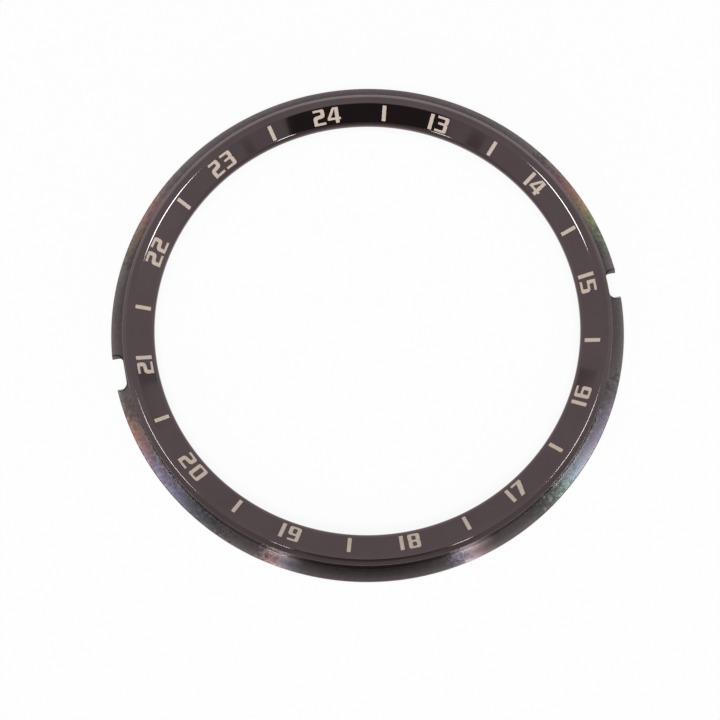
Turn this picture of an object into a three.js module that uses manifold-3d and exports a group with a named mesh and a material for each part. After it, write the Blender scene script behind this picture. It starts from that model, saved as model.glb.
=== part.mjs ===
// A watch bezel made of two rings. A thin turned flange carries the bezel and has two key notches in
// its rim. A dished ring with a polished shoulder is bonded on top of it, and its sloping land holds
// the numerals 13 to 24 and the half hour ticks as separate inlays in shallow pockets.
//
// Millimetres, Z up. The origin is on the ring's axis, on the flat underside of the flange. The
// numeral 24 stands at +Y and the numeral 15 at +X.

import * as THREE from 'three';
import { mergeVertices } from 'three/addons/utils/BufferGeometryUtils.js';
import Module from 'manifold-3d';

// Flange ring: the carrier that the case holds by its rim. The ledge is what shows of it.
const rimRadius = 21;
const flangeThickness = 0.38;
const ledgeWidth = 1.03;
const rimRound = 0.1;
const rimChamfer = 0.05;
const collarWidth = 0.6;
const collarHeight = 0.4;
const collarChamfer = 0.06;
const ridgeHeight = 0.08;

// Key notches: one at +X and a wider one at -X, with walls that lean outwards towards the top.
const narrowNotchWidth = 2.04;
const narrowNotchOffset = -0.07;
const wideNotchWidth = 2.58;
const notchFloorSetback = 0.01;
const notchCornerRound = 0.35;
const notchLeanAtMouth = 0.28;
const notchLeanAtFloor = 0.1;

// Numeral ring: the wall, the polished bevel, the narrow crown on top, the sloping land and the
// rounded inner lip.
const wallDraft = 0.03;
const bevelWidth = 0.34;
const crownWidth = 0.41;
const landWidth = 1.833;
const lipOverhang = 0.393;
const wallFootChamfer = 0.03;
const shoulderHeight = 1.63;
const shoulderRound = 0.15;
const crownHeight = 1.915;
const crownOuterRound = 0.4;
const crownInnerRound = 1;
const landSlopeDegrees = 19.4;
const lipRound = 0.42;
const lipChamfer = 0.05;

// Bond between the rings, and the running fit that centres one on the other.
const bondThickness = 0.05;
const bondSetback = 0.15;
const registerClearance = 0.04;

// Marks on the land: digits, ticks and the pockets that hold them.
const digitWidth = 1;
const digitHeight = 1.32;
const stemWidth = 0.32;
const barHeight = 0.2;
const tickWidth = 0.32;
const tickLength = 1.3;
const markSetback = 0.864;
const pocketDepth = 0.1;
const fillingRecess = 0.02;
const inlayClearance = 0.01;

// Widths of the digits, as shares of the digit width. The digit 1 is one stem.
const digitWidthShares = { 0: 1.05, 2: 1, 3: 1, 4: 1.12, 5: 1.01, 6: 1.01, 7: 0.95, 8: 0.97, 9: 0.98 };

// Corner rounds of the digits, as shares of the digit width.
const broadRoundShare = 0.26;
const cornerRoundShare = 0.16;
const innerRoundShare = 0.07;

// Numerals in clock order. The gap between the two digits and the sideways shift of the pair from
// its hour line are shares of the digit width.
const numerals = [
  { hour: 13, gapShare: 0.28, shiftShare: -0.16 },
  { hour: 14, gapShare: 0.2, shiftShare: -0.07 },
  { hour: 15, gapShare: 0.29, shiftShare: -0.08 },
  { hour: 16, gapShare: 0.31, shiftShare: 0.03 },
  { hour: 17, gapShare: 0.34, shiftShare: 0.01 },
  { hour: 18, gapShare: 0.36, shiftShare: 0.04 },
  { hour: 19, gapShare: 0.34, shiftShare: -0.01 },
  { hour: 20, gapShare: 0.33, shiftShare: -0.05 },
  { hour: 21, gapShare: 0.23, shiftShare: -0.06 },
  { hour: 22, gapShare: 0.25, shiftShare: 0.08 },
  { hour: 23, gapShare: 0.27, shiftShare: -0.15 },
  { hour: 24, gapShare: 0.19, shiftShare: 0 },
];

// The numerals in the lower half stand with their tops towards the centre, so that they read upright.
const firstTurnedHour = 16;
const lastTurnedHour = 20;
const hoursOnRing = numerals.length;

// One overrun for every cut, so that no cutter ends on a face of what it cuts.
const overrun = 0.3;

// Fineness of the round shapes.
const ringFacets = 96;
const arcStepDegrees = 22;
const glyphStepDegrees = 30;
const quarterTurn = Math.PI / 2;
const fullTurn = 2 * Math.PI;

// Finishes.
const coatedSteel = { color: 0x554b4a, roughness: 0.22, metalness: 0.9 };
const turnedSteel = { color: 0x585454, roughness: 0.38, metalness: 0.9 };
const paleFilling = { color: 0xcdbeb2, roughness: 0.6, metalness: 0 };
const bondFilm = { color: 0x1c1a19, roughness: 0.7, metalness: 0 };

const wasm = await Module();
wasm.setup();

const radians = THREE.MathUtils.degToRad;
const landSlope = radians(landSlopeDegrees);

// Radii from the rim inwards, and the heights that follow from them.
const wallRadius = rimRadius - ledgeWidth;
const shoulderRadius = wallRadius - wallDraft;
const crownOuterRadius = shoulderRadius - bevelWidth;
const crownInnerRadius = crownOuterRadius - crownWidth;
const lipRadius = crownInnerRadius - landWidth;
const boreRadius = lipRadius + lipOverhang;
const collarRadius = boreRadius + collarWidth;
const recessRadius = collarRadius + registerClearance;
const ridgeInnerRadius = wallRadius + registerClearance;
const ridgeOuterRadius = ridgeInnerRadius + ridgeHeight;
const notchFloorRadius = ridgeOuterRadius + notchFloorSetback;
const markCircleRadius = crownInnerRadius - markSetback;
const collarTop = flangeThickness + collarHeight;
const lipUndersideHeight = collarTop + bondThickness;
const markCircleHeight = landHeight(markCircleRadius);

// Height of the land's cone at a radius. It rises to the crown.
function landHeight(radius) {
  return crownHeight - (crownInnerRadius - radius) * Math.tan(landSlope);
}

// A corner of an outline. An outline is walked with the material on its left side.
function corner(x, y, round = 0) {
  return { at: new THREE.Vector2(x, y), round };
}

function neighbours(corners, index) {
  const count = corners.length;
  return {
    before: corners[(index + count - 1) % count].at,
    after: corners[(index + 1) % count].at,
  };
}

// The points of a closed outline with each corner rounded by its own radius. A round is limited to
// half of the shorter edge beside it.
function roundedPoints(corners, stepDegrees) {
  return corners.flatMap(({ at, round }, index) => {
    const { before, after } = neighbours(corners, index);
    const toBefore = before.clone().sub(at);
    const toAfter = after.clone().sub(at);
    const room = Math.min(toBefore.length(), toAfter.length()) / 2;
    toBefore.normalize();
    toAfter.normalize();
    const halfAngle = Math.acos(THREE.MathUtils.clamp(toBefore.dot(toAfter), -1, 1)) / 2;
    const reach = Math.min(round / Math.tan(halfAngle), room);
    if (reach === 0) return [at.clone()];
    const radius = reach * Math.tan(halfAngle);
    const inwards = toBefore.clone().add(toAfter).normalize();
    const centre = at.clone().addScaledVector(inwards, radius / Math.sin(halfAngle));
    const start = at.clone().addScaledVector(toBefore, reach).sub(centre).angle();
    const end = at.clone().addScaledVector(toAfter, reach).sub(centre).angle();
    const turn = THREE.MathUtils.euclideanModulo(end - start + Math.PI, fullTurn) - Math.PI;
    const steps = Math.max(1, Math.round(Math.abs(turn) / radians(stepDegrees)));
    return Array.from({ length: steps + 1 }, (_, step) => {
      const angle = start + (turn * step) / steps;
      return centre.clone().add(new THREE.Vector2(Math.cos(angle), Math.sin(angle)).multiplyScalar(radius));
    });
  });
}

// The same outline with the material grown by a clearance on every side.
function grown(corners, clearance) {
  return corners.map(({ at, round }, index) => {
    const { before, after } = neighbours(corners, index);
    const along = at.clone().sub(before).normalize();
    const onward = after.clone().sub(at).normalize();
    const outBefore = new THREE.Vector2(along.y, -along.x);
    const outAfter = new THREE.Vector2(onward.y, -onward.x);
    const shift = outBefore.clone().add(outAfter).multiplyScalar(clearance / (1 + outBefore.dot(outAfter)));
    const isConvex = along.cross(onward) > 0;
    const newRound = round && Math.max(round + (isConvex ? clearance : -clearance), 0);
    return { at: at.clone().add(shift), round: newRound };
  });
}

// A closed profile in radius and height, turned about the Z axis.
function turned(corners) {
  const points = roundedPoints(corners, arcStepDegrees);
  return new THREE.LatheGeometry([...points, points[0]], ringFacets).rotateX(quarterTurn);
}

function toSolid(geometry) {
  const bare = geometry.clone();
  bare.deleteAttribute('normal');
  bare.deleteAttribute('uv');
  const merged = mergeVertices(bare);
  return new wasm.Manifold(new wasm.Mesh({
    numProp: 3,
    vertProperties: new Float32Array(merged.attributes.position.array),
    triVerts: new Uint32Array(merged.index.array),
  }));
}

function toGeometry(solid) {
  const mesh = solid.getMesh();
  const geometry = new THREE.BufferGeometry();
  geometry.setAttribute('position', new THREE.BufferAttribute(mesh.vertProperties, 3));
  geometry.setIndex(new THREE.BufferAttribute(mesh.triVerts, 1));
  geometry.computeVertexNormals();
  return geometry;
}

function cutFrom(geometry, cutters) {
  const cut = cutters.reduce((solid, cutter) => solid.subtract(toSolid(cutter)), toSolid(geometry));
  return toGeometry(cut);
}

// A prism with one outline at its foot and another, with as many points, at its top.
function leaningPrism(lowPoints, lowHeight, highPoints, highHeight) {
  const count = lowPoints.length;
  const positions = [
    ...lowPoints.flatMap((point) => [point.x, point.y, lowHeight]),
    ...highPoints.flatMap((point) => [point.x, point.y, highHeight]),
  ];
  const cap = THREE.ShapeUtils.triangulateShape(lowPoints, []);
  const walls = lowPoints.flatMap((_, near) => {
    const far = (near + 1) % count;
    return [near, far, count + far, near, count + far, count + near];
  });
  const faces = [
    ...cap.flatMap(([a, b, c]) => [a, c, b]),
    ...cap.flatMap(([a, b, c]) => [count + a, count + b, count + c]),
    ...walls,
  ];
  const geometry = new THREE.BufferGeometry();
  geometry.setAttribute('position', new THREE.Float32BufferAttribute(positions, 3));
  geometry.setIndex(faces);
  return geometry;
}

// A notch cutter that opens through the rim at +X. Its floor is flat and its inner corners are
// round. The walls lean outwards over the flange's thickness, most at the mouth.
function notchCutter(width) {
  const mouth = rimRadius + overrun;
  const outline = roundedPoints([
    corner(notchFloorRadius, -width / 2, notchCornerRound),
    corner(mouth, -width / 2),
    corner(mouth, width / 2),
    corner(notchFloorRadius, width / 2, notchCornerRound),
  ], arcStepDegrees);
  const outlineAt = (height) => outline.map(({ x, y }) => {
    const share = (x - notchFloorRadius) / (mouth - notchFloorRadius);
    const lean = THREE.MathUtils.lerp(notchLeanAtFloor, notchLeanAtMouth, share);
    return new THREE.Vector2(x, y + (Math.sign(y) * lean * height) / flangeThickness);
  });
  const low = -overrun;
  const high = flangeThickness + overrun;
  return leaningPrism(outlineAt(low), low, outlineAt(high), high);
}

// The flange ring: rim, ridge round the numeral ring's foot, and the collar that centres it.
function flangeRingGeometry() {
  const ring = turned([
    corner(boreRadius + rimChamfer, 0),
    corner(rimRadius - rimChamfer, 0),
    corner(rimRadius, rimChamfer),
    corner(rimRadius, flangeThickness, rimRound),
    corner(ridgeOuterRadius, flangeThickness),
    corner(ridgeInnerRadius, flangeThickness + ridgeHeight),
    corner(ridgeInnerRadius, flangeThickness),
    corner(collarRadius, flangeThickness),
    corner(collarRadius, collarTop - collarChamfer),
    corner(collarRadius - collarChamfer, collarTop),
    corner(boreRadius + collarChamfer, collarTop),
    corner(boreRadius, collarTop - collarChamfer),
    corner(boreRadius, rimChamfer),
  ]);
  const narrowNotch = notchCutter(narrowNotchWidth).translate(0, narrowNotchOffset, 0);
  const wideNotch = notchCutter(wideNotchWidth).rotateZ(Math.PI);
  return cutFrom(ring, [narrowNotch, wideNotch]);
}

// The bond: a thin film between the flange and the numeral ring, set back from both edges.
function bondRingGeometry() {
  const inner = collarRadius + bondSetback;
  const outer = wallRadius - bondSetback;
  return turned([
    corner(inner, flangeThickness),
    corner(outer, flangeThickness),
    corner(outer, flangeThickness + bondThickness),
    corner(inner, flangeThickness + bondThickness),
  ]);
}

// The numeral ring's body, before its pockets are cut.
function numeralRingBody() {
  const foot = flangeThickness + bondThickness;
  return turned([
    corner(recessRadius, foot),
    corner(wallRadius - wallFootChamfer, foot),
    corner(wallRadius, foot + wallFootChamfer),
    corner(shoulderRadius, shoulderHeight, shoulderRound),
    corner(crownOuterRadius, crownHeight, crownOuterRound),
    corner(crownInnerRadius, crownHeight, crownInnerRound),
    corner(lipRadius, landHeight(lipRadius), lipRound),
    corner(lipRadius, lipUndersideHeight + lipChamfer),
    corner(lipRadius + lipChamfer, lipUndersideHeight),
    corner(recessRadius, lipUndersideHeight),
  ]);
}

// Outlines of the digits, from the lower left corner. Holes are walked the other way round, so that
// the filling stays on the left.
function bar(x0, y0, x1, y1, round = 0) {
  return [corner(x0, y0, round), corner(x1, y0, round), corner(x1, y1, round), corner(x0, y1, round)];
}

function hole(x0, y0, x1, y1, round) {
  return bar(x0, y0, x1, y1, round).reverse();
}

const broad = broadRoundShare * digitWidth;
const soft = cornerRoundShare * digitWidth;
const inner = innerRoundShare * digitWidth;
const stem = stemWidth;
const bars = barHeight;
const top = digitHeight;

const digitOutlines = {
  0: (width) => ({
    outer: bar(0, 0, width, top, soft),
    holes: [hole(stem, bars, width - stem, top - bars, inner)],
  }),
  1: (width) => ({ outer: bar(0, 0, width, top), holes: [] }),
  2: (width) => {
    const waistLowShare = 0.385;
    const waistHighShare = 0.59;
    const waistRiseShare = 0.07;
    const topStartShare = 0.06;
    const rise = waistRiseShare * top;
    const low = waistLowShare * top;
    const high = waistHighShare * top;
    const topStart = topStartShare * width;
    return {
      outer: [
        corner(0, 0), corner(width, 0), corner(width, bars), corner(stem, bars),
        corner(stem, low, inner), corner(width, low + rise, broad), corner(width, top, soft),
        corner(topStart, top), corner(topStart, top - bars),
        corner(width - stem, top - bars, inner), corner(width - stem, high + rise, inner),
        corner(0, high, broad),
      ],
      holes: [],
    };
  },
  3: (width) => {
    const waistShare = 0.54;
    const waistDepthShare = 0.08;
    const middleStartShare = 0.16;
    const waist = waistShare * top;
    const depth = waistDepthShare * width;
    const middleStart = middleStartShare * width;
    return {
      outer: [
        corner(0, 0), corner(width, 0, soft), corner(width, waist - bars / 2, inner),
        corner(width - depth, waist), corner(width, waist + bars / 2, inner), corner(width, top, soft),
        corner(0, top), corner(0, top - bars), corner(width - stem, top - bars, inner),
        corner(width - stem, waist + bars / 2, inner), corner(middleStart, waist + bars / 2),
        corner(middleStart, waist - bars / 2), corner(width - stem, waist - bars / 2, inner),
        corner(width - stem, bars, inner), corner(0, bars),
      ],
      holes: [],
    };
  },
  4: (width) => {
    const crossbarShare = 0.205;
    const tailShare = 0.13;
    const peakShare = 0.43;
    const bevelShare = 0.025;
    const holeStartShare = 0.25;
    const holeTopShare = 0.9;
    const low = crossbarShare * top;
    const high = low + bars;
    const stemEnd = width - tailShare * width;
    const stemStart = stemEnd - stem;
    return {
      outer: [
        corner(stemStart, 0), corner(stemEnd, 0), corner(stemEnd, low), corner(width, low),
        corner(width, high), corner(stemEnd, high), corner(stemEnd, top),
        corner(peakShare * width, top), corner(0, high - bevelShare * top), corner(0, low),
        corner(stemStart, low),
      ],
      holes: [[
        corner(holeStartShare * width, high), corner(stemStart, holeTopShare * top),
        corner(stemStart, high),
      ]],
    };
  },
  5: (width) => {
    const waistShare = 0.526;
    const topEndShare = 0.95;
    const waist = waistShare * top;
    const topEnd = topEndShare * width;
    return {
      outer: [
        corner(0, 0), corner(width, 0, soft), corner(width, waist + bars / 2, broad),
        corner(stem, waist + bars / 2), corner(stem, top - bars), corner(topEnd, top - bars),
        corner(topEnd, top), corner(0, top), corner(0, waist - bars / 2),
        corner(width - stem, waist - bars / 2, inner), corner(width - stem, bars, inner),
        corner(0, bars),
      ],
      holes: [],
    };
  },
  6: (width) => {
    const waistShare = 0.545;
    const topEndShare = 0.94;
    const waist = waistShare * top;
    const topEnd = topEndShare * width;
    return {
      outer: [
        corner(0, 0, soft), corner(width, 0, soft), corner(width, waist + bars / 2, soft),
        corner(stem, waist + bars / 2), corner(stem, top - bars, inner), corner(topEnd, top - bars),
        corner(topEnd, top), corner(0, top, soft),
      ],
      holes: [hole(stem, bars, width - stem, waist - bars / 2, inner)],
    };
  },
  7: (width) => {
    const footStartShare = 0.1;
    const footEndShare = 0.5;
    const elbowShare = 0.54;
    return {
      outer: [
        corner(footStartShare * width, 0), corner(footEndShare * width, 0),
        corner(width, top - bars), corner(width, top), corner(0, top), corner(0, top - bars),
        corner(elbowShare * width, top - bars),
      ],
      holes: [],
    };
  },
  8: (width) => {
    const waistDepthShare = 0.06;
    const waist = top / 2;
    const depth = waistDepthShare * width;
    return {
      outer: [
        corner(0, 0, soft), corner(width, 0, soft), corner(width, waist - bars / 2, inner),
        corner(width - depth, waist), corner(width, waist + bars / 2, inner),
        corner(width, top, soft), corner(0, top, soft), corner(0, waist + bars / 2, inner),
        corner(depth, waist), corner(0, waist - bars / 2, inner),
      ],
      holes: [
        hole(stem, bars, width - stem, waist - bars / 2, inner),
        hole(stem, waist + bars / 2, width - stem, top - bars, inner),
      ],
    };
  },
  9: (width) => {
    const waistShare = 0.455;
    const tailStartShare = 0.07;
    const waist = waistShare * top;
    const tailStart = tailStartShare * width;
    return {
      outer: [
        corner(tailStart, 0), corner(width, 0, soft), corner(width, top, soft), corner(0, top, soft),
        corner(0, waist - bars / 2, soft), corner(width - stem, waist - bars / 2),
        corner(width - stem, bars, inner), corner(tailStart, bars),
      ],
      holes: [hole(stem, waist + bars / 2, width - stem, top - bars, inner)],
    };
  },
};

function digitSize(digit) {
  return digit === '1' ? stemWidth : digitWidthShares[digit] * digitWidth;
}

// A flat prism of an outline with its middle at the origin. It reaches from one depth to another.
function platelet({ outer, holes }, width, height, clearance, low, high) {
  const points = (corners) => roundedPoints(grown(corners, clearance), glyphStepDegrees);
  const shape = new THREE.Shape(points(outer));
  shape.holes = holes.map((corners) => new THREE.Path(points(corners)));
  const plate = new THREE.ExtrudeGeometry(shape, { depth: high - low, bevelEnabled: false });
  return plate.translate(-width / 2, -height / 2, low);
}

// Where a mark sits on the land: its middle on the mark circle, its own Z axis square to the land.
// A turned mark has its top towards the centre.
function seatOnLand(object, azimuth, isTurned) {
  const readingAlong = new THREE.Vector3(Math.sin(azimuth), -Math.cos(azimuth), 0);
  const outwards = new THREE.Vector3(
    Math.cos(azimuth) * Math.cos(landSlope),
    Math.sin(azimuth) * Math.cos(landSlope),
    Math.sin(landSlope),
  );
  const up = new THREE.Vector3().crossVectors(readingAlong, outwards);
  if (isTurned) {
    readingAlong.negate();
    outwards.negate();
  }
  object.quaternion.setFromRotationMatrix(new THREE.Matrix4().makeBasis(readingAlong, outwards, up));
  object.position.set(
    markCircleRadius * Math.cos(azimuth),
    markCircleRadius * Math.sin(azimuth),
    markCircleHeight,
  );
  object.updateMatrixWorld();
}

const bezel = new THREE.Group();
const pocketCutters = [];

function addMesh(name, geometry, finish) {
  const mesh = new THREE.Mesh(geometry, new THREE.MeshStandardMaterial(finish));
  mesh.name = name;
  bezel.add(mesh);
  return mesh;
}

// An inlay and the pocket that it lies in. The pocket is larger by the clearance, also in depth, and
// the inlay ends a little below the land.
function addInlay(name, outline, width, height, azimuth, isTurned) {
  const low = inlayClearance - pocketDepth;
  const inlay = addMesh(name, platelet(outline, width, height, 0, low, -fillingRecess), paleFilling);
  seatOnLand(inlay, azimuth, isTurned);
  const pocket = platelet(outline, width, height, inlayClearance, -pocketDepth, overrun);
  pocketCutters.push(pocket.applyMatrix4(inlay.matrixWorld));
}

// Hour lines run clockwise from +Y.
function azimuthOfHour(hour) {
  return quarterTurn - (fullTurn * (hour - hoursOnRing)) / hoursOnRing;
}

function addNumeral({ hour, gapShare, shiftShare }) {
  const [tens, units] = String(hour);
  const isTurned = hour >= firstTurnedHour && hour <= lastTurnedHour;
  const tensWidth = digitSize(tens);
  const unitsWidth = digitSize(units);
  const halfSpan = (tensWidth + gapShare * digitWidth + unitsWidth) / 2;
  const shift = shiftShare * digitWidth;
  const azimuthAt = (offset) => {
    const along = (shift + offset) / markCircleRadius;
    return azimuthOfHour(hour) + (isTurned ? along : -along);
  };
  const addDigit = (place, digit, width, offset) => addInlay(
    `numeral_${hour}_${place}`,
    digitOutlines[digit](width),
    width,
    digitHeight,
    azimuthAt(offset),
    isTurned,
  );
  addDigit('tens', tens, tensWidth, tensWidth / 2 - halfSpan);
  addDigit('units', units, unitsWidth, halfSpan - unitsWidth / 2);
}

function addHalfHourTick(hour) {
  const outline = { outer: bar(0, 0, tickWidth, tickLength), holes: [] };
  const halfHourOn = azimuthOfHour(hour) - fullTurn / (2 * hoursOnRing);
  addInlay(`half_hour_tick_after_${hour}`, outline, tickWidth, tickLength, halfHourOn, false);
}

addMesh('flange_ring', flangeRingGeometry(), turnedSteel);
addMesh('bond_ring', bondRingGeometry(), bondFilm);
numerals.forEach(addNumeral);
numerals.forEach(({ hour }) => addHalfHourTick(hour));
addMesh('numeral_ring', cutFrom(numeralRingBody(), pocketCutters), coatedSteel);

export default bezel;
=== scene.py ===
"""Looks of a dished watch bezel: a fine turned flange, a polished numeral ring and matt marks.

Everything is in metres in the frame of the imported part: the ring's axis is Z, the underside is at
zero, the numeral 24 stands at +Y and the numeral 15 at +X.
"""

import math

import bmesh
import bpy
import numpy as np
from bpy.props import FloatProperty, FloatVectorProperty, IntProperty, PointerProperty
from bpy.types import Operator, Panel, PropertyGroup
from mathutils import Matrix, Vector


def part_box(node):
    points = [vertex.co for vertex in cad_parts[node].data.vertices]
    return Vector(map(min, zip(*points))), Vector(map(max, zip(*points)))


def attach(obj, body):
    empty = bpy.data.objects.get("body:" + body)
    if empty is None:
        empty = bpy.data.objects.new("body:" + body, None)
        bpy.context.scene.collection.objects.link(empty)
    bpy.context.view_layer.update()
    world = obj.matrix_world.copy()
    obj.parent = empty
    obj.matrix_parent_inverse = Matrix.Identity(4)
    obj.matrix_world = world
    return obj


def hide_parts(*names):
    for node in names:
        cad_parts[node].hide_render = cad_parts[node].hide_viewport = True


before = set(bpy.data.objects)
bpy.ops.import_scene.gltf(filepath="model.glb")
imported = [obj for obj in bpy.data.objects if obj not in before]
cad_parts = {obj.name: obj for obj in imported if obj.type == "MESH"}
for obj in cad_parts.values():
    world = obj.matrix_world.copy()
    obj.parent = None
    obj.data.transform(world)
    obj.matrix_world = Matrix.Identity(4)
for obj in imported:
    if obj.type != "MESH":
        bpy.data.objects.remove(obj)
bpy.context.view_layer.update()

bl_info = {
    "name": "Watch Bezel Looks",
    "version": (1, 0, 0),
    "blender": (4, 5, 0),
    "location": "View3D > Sidebar > Bezel",
    "description": "Fine surfaces, finishes and a small studio for a dished watch bezel",
    "category": "Object",
}

MM = 0.001
PICTURE = 720  # the picture's width and height in pixels
RING_CENTRE = (367.28, 329.24)  # where the middle of the ring stands in it, from the top left
SENSOR_WIDTH = 36.0  # of the camera, in millimetres
INLAYS = sorted(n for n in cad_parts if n.startswith(("numeral_1", "numeral_2", "half_hour")))
FLANGE_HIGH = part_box("flange_ring")[1]
RING_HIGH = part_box("numeral_ring")[1]

# Small lengths, angles and steps of the fine surfaces.
INSIDE_SHARE = 0.9996  # of the solid's radius, which keeps the finer rim inside the solid's box
SMOOTH_REACH = 0.015 * MM  # how far from an edge its smooth shading may reach
BEAD_REACH = 0.008 * MM  # the same outside the bead
LEAST_REACH_SHARE = 0.15  # of the smooth reach, where a notch's edge has no round
LONG_REACHES = 8  # an edge longer than this many reaches is long
NOTCH_EDGE_SHARE = 0.45  # of the rim's round, along a notch's walls
COLLAR_ROUND = 0.06 * MM
WALL_FOOT_ROUND = 0.03 * MM
LIP_FOOT_ROUND = 0.05 * MM
BEAD_TILT = (13.5, 20.5)  # slope of the bead at its outer and inner end, in degrees
ROOT_TILT = 80  # slope of its root at the seam
RING_STEPS, COLLAR_STEPS, RIM_STEPS = 10, 4, 8  # in each of their rounds
BEAD_STEPS, ROOT_STEPS, NOTCH_STEPS = 4, 6, 13
FLANGE_SHARP, RING_SHARP = 12, 28  # edges that turn by more degrees than this stay sharp
WELD = 0.0005 * MM  # points nearer than this are one
LAND_TOLERANCE = 0.002 * MM  # how far off the cone the middle of a face of the land may lie
POCKET_DEPTH_SPLIT = 0.055 * MM  # a mark's points above this depth are its rim, the rest its foot
RIM_LIFT, FOOT_DROP = 0.3 * MM, 0.01 * MM  # how far a pocket cutter's rim and foot are moved
NO_LENGTH = 1e-12  # stands in for the length of an edge that has none


def length(name, default, description):
    """A size in metres that shows in Blender's own length unit."""
    return FloatProperty(
        name=name, description=description, default=default, unit="LENGTH", precision=6
    )


def colour(name, default, description):
    """A linear colour."""
    return FloatVectorProperty(
        name=name, description=description, default=default, subtype="COLOR", min=0, max=1
    )


class BezelSizes(PropertyGroup):
    """Sizes of the two rings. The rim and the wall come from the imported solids."""

    rim_radius: length("Rim radius", FLANGE_HIGH.y * INSIDE_SHARE, "Outside of the flange")
    wall_radius: length("Wall radius", RING_HIGH.y, "Foot of the numeral ring's upright wall")
    flange_thickness: length("Flange thickness", 0.38 * MM, "Height of the flange at its rim")
    rim_chamfer: length("Rim chamfer", 0.05 * MM, "Broken edge under the rim")
    rim_round: length("Rim round", 0.09 * MM, "Round on the rim's upper edge")
    bead_round: length("Bead round", 0.32 * MM, "Round of the bead at the ring's foot")
    root_round: length("Root round", 0.03 * MM, "Round where the bead rises at the wall")
    ridge_gap: length("Seam", 0.02 * MM, "Dark seam between the bead and the wall")
    bore_radius: length("Bore radius", 17.75 * MM, "Inside of the flange")
    collar_radius: length("Collar radius", 18.35 * MM, "Outside of the centring collar")
    collar_top: length("Collar top", 0.78 * MM, "Height of the centring collar")
    notch_floor: length("Notch floor", 20.1 * MM, "Distance of a notch's floor from the axis")
    narrow_notch: length("Narrow notch", 2.04 * MM, "Width of the notch at +X")
    narrow_offset: length("Narrow notch offset", -0.07 * MM, "Middle of the notch at +X, along Y")
    wide_notch: length("Wide notch", 2.58 * MM, "Width of the notch at -X")
    notch_round: length("Notch corner", 0.35 * MM, "Round in a notch's inner corners")
    mouth_lean: length("Lean at the mouth", 0.28 * MM, "How far a notch wall leans out at the rim")
    floor_lean: length("Lean at the floor", 0.1 * MM, "How far a notch wall leans out inside")
    foot_height: length("Foot height", 0.43 * MM, "Underside of the numeral ring")
    wall_draft: length("Wall draft", 0.03 * MM, "How far the upright wall leans in")
    shoulder_height: length("Shoulder height", 1.63 * MM, "Where the wall meets the bevel")
    shoulder_round: length("Shoulder round", 0.15 * MM, "Round between the wall and the bevel")
    crown_outer: length("Crown outside", 19.6 * MM, "Where the bevel meets the crown")
    crown_outer_round: length("Outer crown round", 0.32 * MM, "Round from the bevel to the crown")
    crown_inner: length("Crown inside", 19.19 * MM, "Where the crown meets the land")
    crown_inner_round: length("Inner crown round", 1.0 * MM, "Round from the crown to the land")
    crown_height: length("Crown height", RING_HIGH.z, "Top of the ring")
    lip_radius: length("Lip radius", 17.357 * MM, "Opening of the numeral ring")
    lip_under: length("Lip underside", 0.83 * MM, "Underside of the lip")
    lip_round: length("Lip round", 0.42 * MM, "Round between the land and the lip")
    recess_radius: length("Recess radius", 18.39 * MM, "Recess over the centring collar")
    land_slope: FloatProperty(
        name="Land slope",
        description="Slope of the land that holds the marks, down towards the opening",
        default=math.radians(19.4),
        subtype="ANGLE",
    )
    segments: IntProperty(
        name="Segments", description="Steps round each ring", default=1080, min=90, max=1440
    )


class BezelFinishes(PropertyGroup):
    """Colours of the finishes."""

    polish: colour("Polished coat", (0.100, 0.077, 0.079), "Dark brown coat of the numeral ring")
    turned: colour("Turned coat", (0.117, 0.097, 0.099), "Dark grey coat of the flange")
    filling: colour("Filling", (0.635, 0.495, 0.42), "Beige filling of the marks")
    bond: colour("Bond", (0.012, 0.010, 0.010), "Dark film between the rings")


class BezelStudio(PropertyGroup):
    """Camera and light."""

    focal_length: FloatProperty(
        name="Focal length", description="Lens on a 36 mm sensor, in millimetres", default=118.7
    )
    distance: length("Distance", 194.7 * MM, "Camera's distance from the middle of the ring")
    elevation: FloatProperty(
        name="Elevation",
        description="Camera's height above the horizon",
        default=math.radians(74.57),
        subtype="ANGLE",
    )
    azimuth: FloatProperty(
        name="Azimuth",
        description="Turn of the camera round the ring's axis, clockwise from -Y",
        default=math.radians(8.30),
        subtype="ANGLE",
    )
    roll: FloatProperty(
        name="Roll",
        description="Turn of the picture about the line of sight",
        default=math.radians(2.31),
        subtype="ANGLE",
    )
    centre_right: FloatProperty(
        name="Centre right",
        description="How far right of the picture's middle the ring's centre stands, in frames",
        default=(RING_CENTRE[0] - PICTURE / 2) / PICTURE,
    )
    centre_up: FloatProperty(
        name="Centre up",
        description="How far above the picture's middle the ring's centre stands, in frames",
        default=(PICTURE / 2 - RING_CENTRE[1]) / PICTURE,
    )
    sky: FloatProperty(
        name="Tent", description="Brightness of the light tent", default=0.38, min=0
    )
    fill: FloatProperty(
        name="Front fill", description="Power of the soft front lamp", default=1.0, unit="POWER"
    )
    floor: colour("Floor", (0.94, 0.94, 0.94), "Pale floor")


# Shapes


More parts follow.
